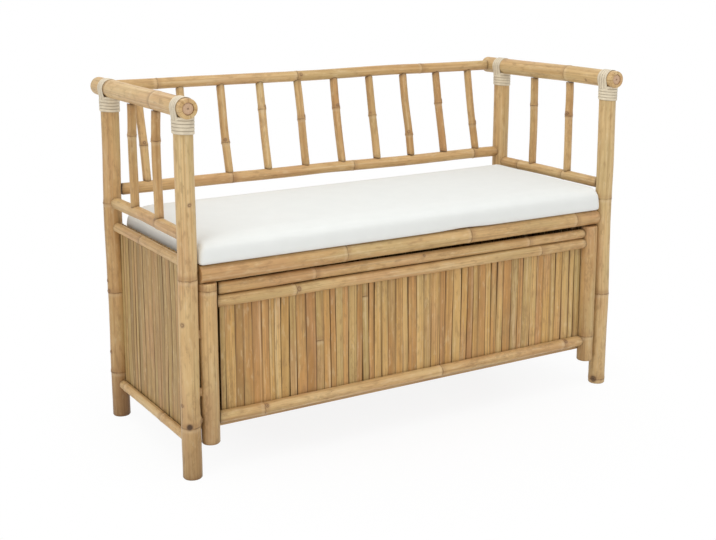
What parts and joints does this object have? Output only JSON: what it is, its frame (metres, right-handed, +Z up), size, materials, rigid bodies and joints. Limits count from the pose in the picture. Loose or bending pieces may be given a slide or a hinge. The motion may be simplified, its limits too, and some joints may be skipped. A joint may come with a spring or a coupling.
{
  "type": "garden storage bench",
  "caption": "Garden bench of bamboo poles with a slatted storage box under its seat, a hinged lid, a spindle back and arms tied with cane, and a loose seat cushion.",
  "frame": {"origin": "centre of the footprint, on the floor that the posts stand on", "axes": "+X along the seat to the right of someone facing the front, +Y from the front to the back, +Z up"},
  "size_m": [1.0984, 0.485, 0.7531],
  "materials": {
    "bamboo_pole": "satin varnish over natural culm",
    "bamboo_slat": "satin varnish over split culm",
    "batten_wood": "planed, unvarnished",
    "plug_wood": "sawn end grain",
    "cane": "split cane, semi-matt",
    "hinge_steel": "zinc plated",
    "cushion_fabric": "woven cotton canvas"
  },
  "bodies": {
    "frame": {"arm_end_plugs": "plug_wood", "arm_rail_left": "bamboo_pole", "arm_rail_right": "bamboo_pole", "arm_side_rail_left": "bamboo_pole", "arm_side_rail_right": "bamboo_pole", "arm_spindle_front_left": "bamboo_pole", "arm_spindle_front_right": "bamboo_pole", "arm_spindle_rear_left": "bamboo_pole", "arm_spindle_rear_right": "bamboo_pole", "back_lower_rail": "bamboo_pole", "back_spindle_01": "bamboo_pole", "back_spindle_02": "bamboo_pole", "back_spindle_03": "bamboo_pole", "back_spindle_04": "bamboo_pole", "back_spindle_05": "bamboo_pole", "back_spindle_06": "bamboo_pole", "back_spindle_07": "bamboo_pole", "back_spindle_08": "bamboo_pole", "back_spindle_09": "bamboo_pole", "back_spindle_10": "bamboo_pole", "back_top_rail": "bamboo_pole", "cane_bindings": "cane", "cane_saddle_straps": "cane", "floor_boards": "bamboo_slat", "floor_ledger_front": "batten_wood", "floor_ledger_rear": "batten_wood", "front_bottom_rail": "bamboo_pole", "front_panel_tenons": "batten_wood", "front_slat_rail": "bamboo_pole", "front_slats": "bamboo_slat", "front_stile_left": "bamboo_pole", "front_stile_right": "bamboo_pole", "front_upper_rail": "bamboo_pole", "hinge_fixed_leaves": "hinge_steel", "hinge_pins": "hinge_steel", "post_front_left": "bamboo_pole", "post_front_right": "bamboo_pole", "post_rear_left": "bamboo_pole", "post_rear_right": "bamboo_pole", "rear_bottom_rail": "bamboo_pole", "rear_slat_rail": "bamboo_pole", "rear_slats": "bamboo_slat", "rear_top_rail": "bamboo_pole", "side_bottom_rail_left": "bamboo_pole", "side_bottom_rail_right": "bamboo_pole", "side_slats_left": "bamboo_slat", "side_slats_right": "bamboo_slat", "side_top_rail_left": "bamboo_pole", "side_top_rail_right": "bamboo_pole"},
    "lid": {"lid_front_rail": "bamboo_pole", "lid_rear_batten": "batten_wood", "lid_end_batten_left": "batten_wood", "lid_end_batten_right": "batten_wood", "lid_bearer": "batten_wood", "lid_boards": "bamboo_slat", "hinge_lid_leaves": "hinge_steel"},
    "cushion": {"cushion": "cushion_fabric"}
  },
  "joints": [
    {"name": "lid_hinge", "type": "hinge", "parent": "frame", "child": "lid", "pos_m": [0, 0.164, 0.42345], "axis": [-1, 0, 0], "range_deg": [0, 48]},
    {"name": "cushion_slide", "type": "slide", "parent": "lid", "child": "cushion", "axis": [0, -1, 0], "range_m": [0, 0.42]}
  ]
}
